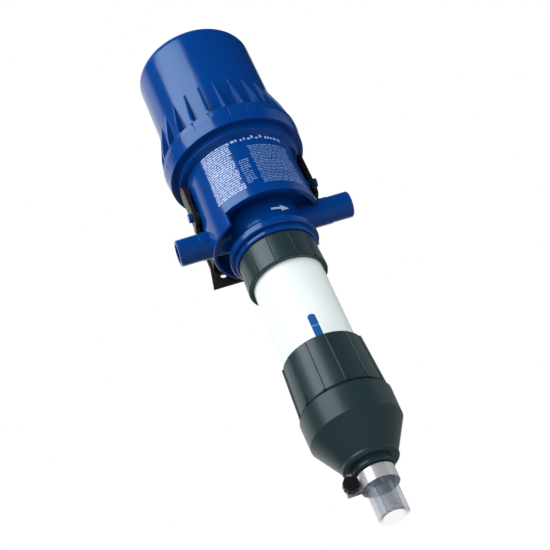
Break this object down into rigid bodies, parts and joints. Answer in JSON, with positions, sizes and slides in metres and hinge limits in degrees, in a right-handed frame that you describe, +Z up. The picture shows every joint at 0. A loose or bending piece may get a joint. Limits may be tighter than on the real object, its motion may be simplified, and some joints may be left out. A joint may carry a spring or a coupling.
{
  "type": "water-powered dosing pump",
  "caption": "Upright proportional dosing pump: ribbed bell and body with side pipe stubs, dosing cylinder, adjusting nut, cup, hose tail and wall bracket.",
  "frame": {"origin": "centre of the wall bracket's four bolt holes, on the wall face", "axes": "+Z up along the pump's axis, +Y into the wall, +X towards the outlet stub; the front faces -Y"},
  "size_m": [0.177, 0.1473, 0.5685],
  "materials": {
    "blue_plastic": "glossy moulded blue plastic",
    "black_plastic": "satin black plastic",
    "slate_plastic": "semi-gloss dark grey plastic",
    "white_plastic": "smooth white plastic",
    "ivory_plastic": "natural moulded plastic",
    "black_rubber": "moulded rubber",
    "red_rubber": "moulded rubber",
    "spring_steel": "bright stainless steel",
    "band_steel": "polished stainless band",
    "knob_plastic": "satin black plastic",
    "clear_hose": "translucent soft hose"
  },
  "bodies": {
    "pump": {"wall_bracket": "black_plastic", "pump_body": "blue_plastic", "cylinder_liner": "ivory_plastic", "liner_oring": "black_rubber", "bell_housing": "blue_plastic", "bell_oring": "black_rubber", "retaining_ring": "slate_plastic", "cylinder_oring": "black_rubber", "dosing_cylinder": "white_plastic", "bleed_spring": "spring_steel"},
    "bleed": {"bleed_button": "slate_plastic", "bleed_poppet": "slate_plastic", "bleed_oring": "black_rubber"},
    "motor_piston": {"piston_head": "ivory_plastic", "head_lip_seal": "black_rubber", "piston_skirt": "ivory_plastic", "skirt_lip_seal": "black_rubber", "toggle_pins": "spring_steel", "plunger_rod": "spring_steel", "rod_pin": "spring_steel", "dosing_plunger": "slate_plastic", "plunger_cup_seal": "black_rubber", "plunger_nut": "spring_steel"},
    "valve_gear": {"valve_rod": "spring_steel", "valve_rod_clips": "spring_steel", "valve_bridge": "ivory_plastic", "upper_valves": "red_rubber", "lower_valves": "red_rubber"},
    "toggle_link_left": {"toggle_left": "spring_steel", "toggle_spring_left": "spring_steel"},
    "toggle_link_right": {"toggle_right": "spring_steel", "toggle_spring_right": "spring_steel"},
    "dosing_end": {"dosing_cup": "slate_plastic", "inner_sleeve": "white_plastic", "sleeve_oring": "black_rubber", "check_seat": "white_plastic", "check_cage": "white_plastic", "check_spring": "spring_steel", "nut_clip": "spring_steel", "hose_barb": "slate_plastic", "barb_oring": "black_rubber", "suction_hose": "clear_hose", "clamp_band": "band_steel", "clamp_nut": "band_steel"},
    "dose_nut": {"adjusting_nut": "slate_plastic"},
    "check_valve": {"check_poppet": "red_rubber", "poppet_seal": "black_rubber"},
    "hose_clamp_screw": {"clamp_screw": "knob_plastic"}
  },
  "joints": [
    {"name": "motor_stroke", "type": "slide", "parent": "pump", "child": "motor_piston", "axis": [0, 0, 1], "range_m": [0, 0.045]},
    {"name": "valve_shift", "type": "slide", "parent": "motor_piston", "child": "valve_gear", "axis": [0, 0, 1], "range_m": [0, 0.006]},
    {"name": "toggle_left_swing", "type": "hinge", "parent": "motor_piston", "child": "toggle_link_left", "pos_m": [-0.044, -0.076, 0.095], "axis": [0, -1, 0], "range_deg": [0, 11.42], "deforming": ["toggle_spring_left"]},
    {"name": "toggle_right_swing", "type": "hinge", "parent": "motor_piston", "child": "toggle_link_right", "pos_m": [0.044, -0.076, 0.095], "axis": [0, 1, 0], "range_deg": [0, 11.42], "deforming": ["toggle_spring_right"]},
    {"name": "dose_slide", "type": "slide", "parent": "pump", "child": "dosing_end", "axis": [0, 0, 1], "range_m": [-0.01, 0.02]},
    {"name": "nut_turn", "type": "hinge", "parent": "dosing_end", "child": "dose_nut", "pos_m": [0, -0.076, -0.228], "axis": [0, 0, 1], "range_deg": [-600, 1200]},
    {"name": "check_lift", "type": "slide", "parent": "dosing_end", "child": "check_valve", "axis": [0, 0, 1], "range_m": [0, 0.003], "stiffness_N_per_m": 150, "springref_m": -0.003, "deforming": ["check_spring"]},
    {"name": "bleed_press", "type": "slide", "parent": "pump", "child": "bleed", "axis": [0, 0, 1], "range_m": [-0.003, 0], "stiffness_N_per_m": 700, "springref_m": 0.002, "deforming": ["bleed_spring"]},
    {"name": "clamp_turn", "type": "hinge", "parent": "dosing_end", "child": "hose_clamp_screw", "pos_m": [-0.0253, -0.082, -0.3335], "axis": [0, 1, 0], "continuous": true}
  ],
  "couplings": [
    {"joint": "toggle_left_swing", "follows": "valve_shift", "rad_per_m": 33.206},
    {"joint": "toggle_right_swing", "follows": "valve_shift", "rad_per_m": 33.206},
    {"joint": "nut_turn", "follows": "dose_slide", "rad_per_m": 1047.2}
  ]
}
